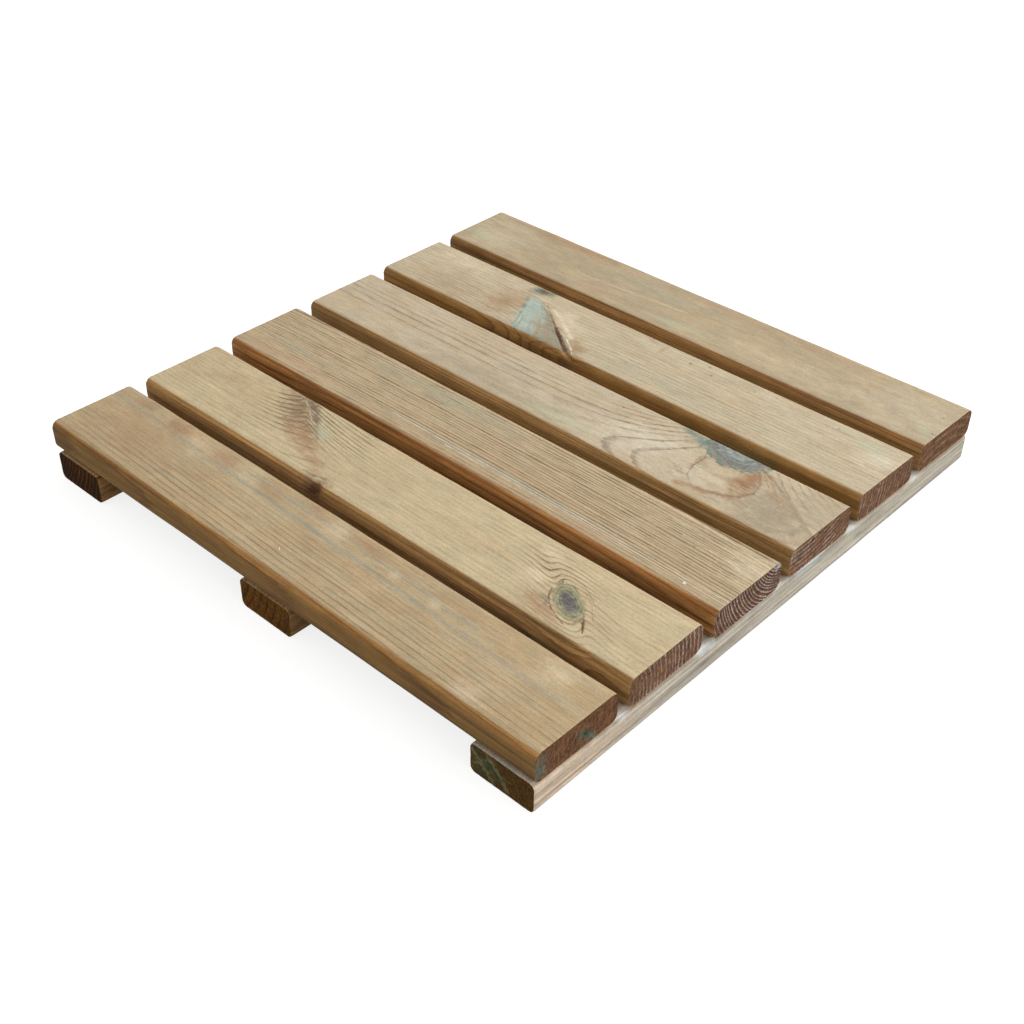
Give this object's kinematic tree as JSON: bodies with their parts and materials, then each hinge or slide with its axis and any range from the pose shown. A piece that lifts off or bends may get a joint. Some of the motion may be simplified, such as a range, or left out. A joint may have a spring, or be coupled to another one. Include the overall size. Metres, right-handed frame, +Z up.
{
  "type": "slatted timber deck tile",
  "caption": "Square slatted deck tile of eased softwood boards across flat bearers, open at the gaps, lying loose on the ground as a walking surface.",
  "frame": {"origin": "on the ground under the middle of the tile", "axes": "+X along the deck boards, +Y across them from the front board to the back one, +Z up"},
  "size_m": [0.5, 0.505, 0.05],
  "materials": {
    "deck_board_1": "planed pressure-treated pine, straight grain with grey-green stain",
    "deck_board_2": "planed pressure-treated pine with an oval knot",
    "deck_board_3": "planed pressure-treated pine, tight quarter-sawn grain",
    "deck_board_4": "planed pressure-treated pine, flat-sawn figure with an edge knot",
    "deck_board_5": "planed pressure-treated pine with a torn spike knot at the edge",
    "deck_board_6": "planed pressure-treated pine, plain",
    "bearer_left": "planed pressure-treated pine",
    "bearer_middle": "planed pressure-treated pine",
    "bearer_right": "planed pressure-treated pine, pinkish grey with green stain",
    "staple_steel": "dull zinc plating"
  },
  "bodies": {
    "root": {"deck_board_1": "deck_board_1", "deck_board_2": "deck_board_2", "deck_board_3": "deck_board_3", "deck_board_4": "deck_board_4", "deck_board_5": "deck_board_5", "deck_board_6": "deck_board_6", "bearer_left": "bearer_left", "bearer_middle": "bearer_middle", "bearer_right": "bearer_right", "underside_staples": "staple_steel"}
  },
  "joints": []
}
